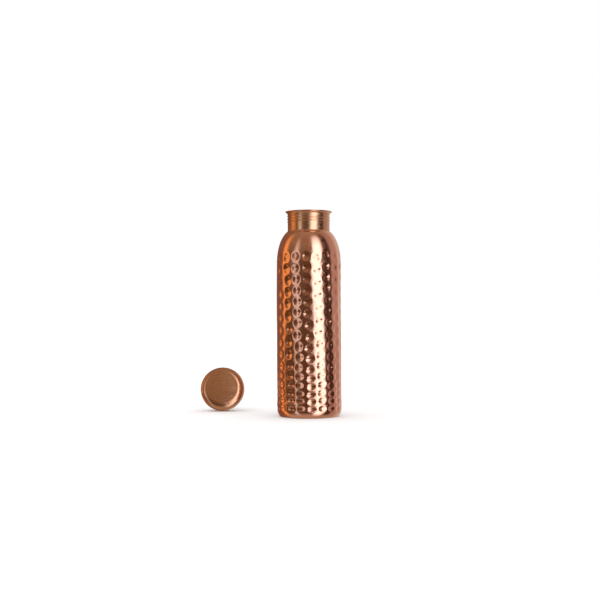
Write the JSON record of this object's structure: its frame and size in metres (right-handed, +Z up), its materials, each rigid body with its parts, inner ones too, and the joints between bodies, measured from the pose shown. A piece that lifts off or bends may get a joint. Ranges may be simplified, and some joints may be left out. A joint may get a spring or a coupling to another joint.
{
  "type": "copper water bottle",
  "caption": "Hammered copper water bottle with a smooth shoulder, a flared threaded neck and a pressed base, standing open beside its threaded cap and seal.",
  "frame": {"origin": "centre of the ring that the bottle stands on, in the plane of the table", "axes": "+Z up along the bottle's axis towards the mouth; -X towards the side where the cap lies, +Y towards the back, where the cap lies behind the bottle's axis"},
  "size_m": [0.1702, 0.1284, 0.238],
  "materials": {
    "hammered_copper": "polished copper, hand hammered",
    "neck_copper": "polished copper, spun",
    "pressed_copper": "satin copper, pressed",
    "cap_copper": "satin copper, lightly brushed",
    "plug_copper": "satin copper, drawn",
    "braze": "brazing alloy",
    "seal_silicone": "matte translucent silicone"
  },
  "bodies": {
    "bottle": {"body_wall": "hammered_copper", "base_disc": "pressed_copper", "base_braze": "braze", "neck_sleeve": "neck_copper", "neck_braze": "braze"},
    "seal": {"seal_ring": "seal_silicone"},
    "cap": {"cap_shell": "cap_copper", "cap_plug": "plug_copper", "cap_braze": "braze"}
  },
  "joints": [
    {"name": "cap_lift", "type": "slide", "parent": "bottle", "child": "seal", "axis": [0, 0, 1], "range_m": [0, 0.26]},
    {"name": "cap_turn", "type": "hinge", "parent": "seal", "child": "cap", "pos_m": [-0.106, 0.073, 0.02533], "axis": [0, -0.9486, 0.3164], "continuous": true}
  ]
}
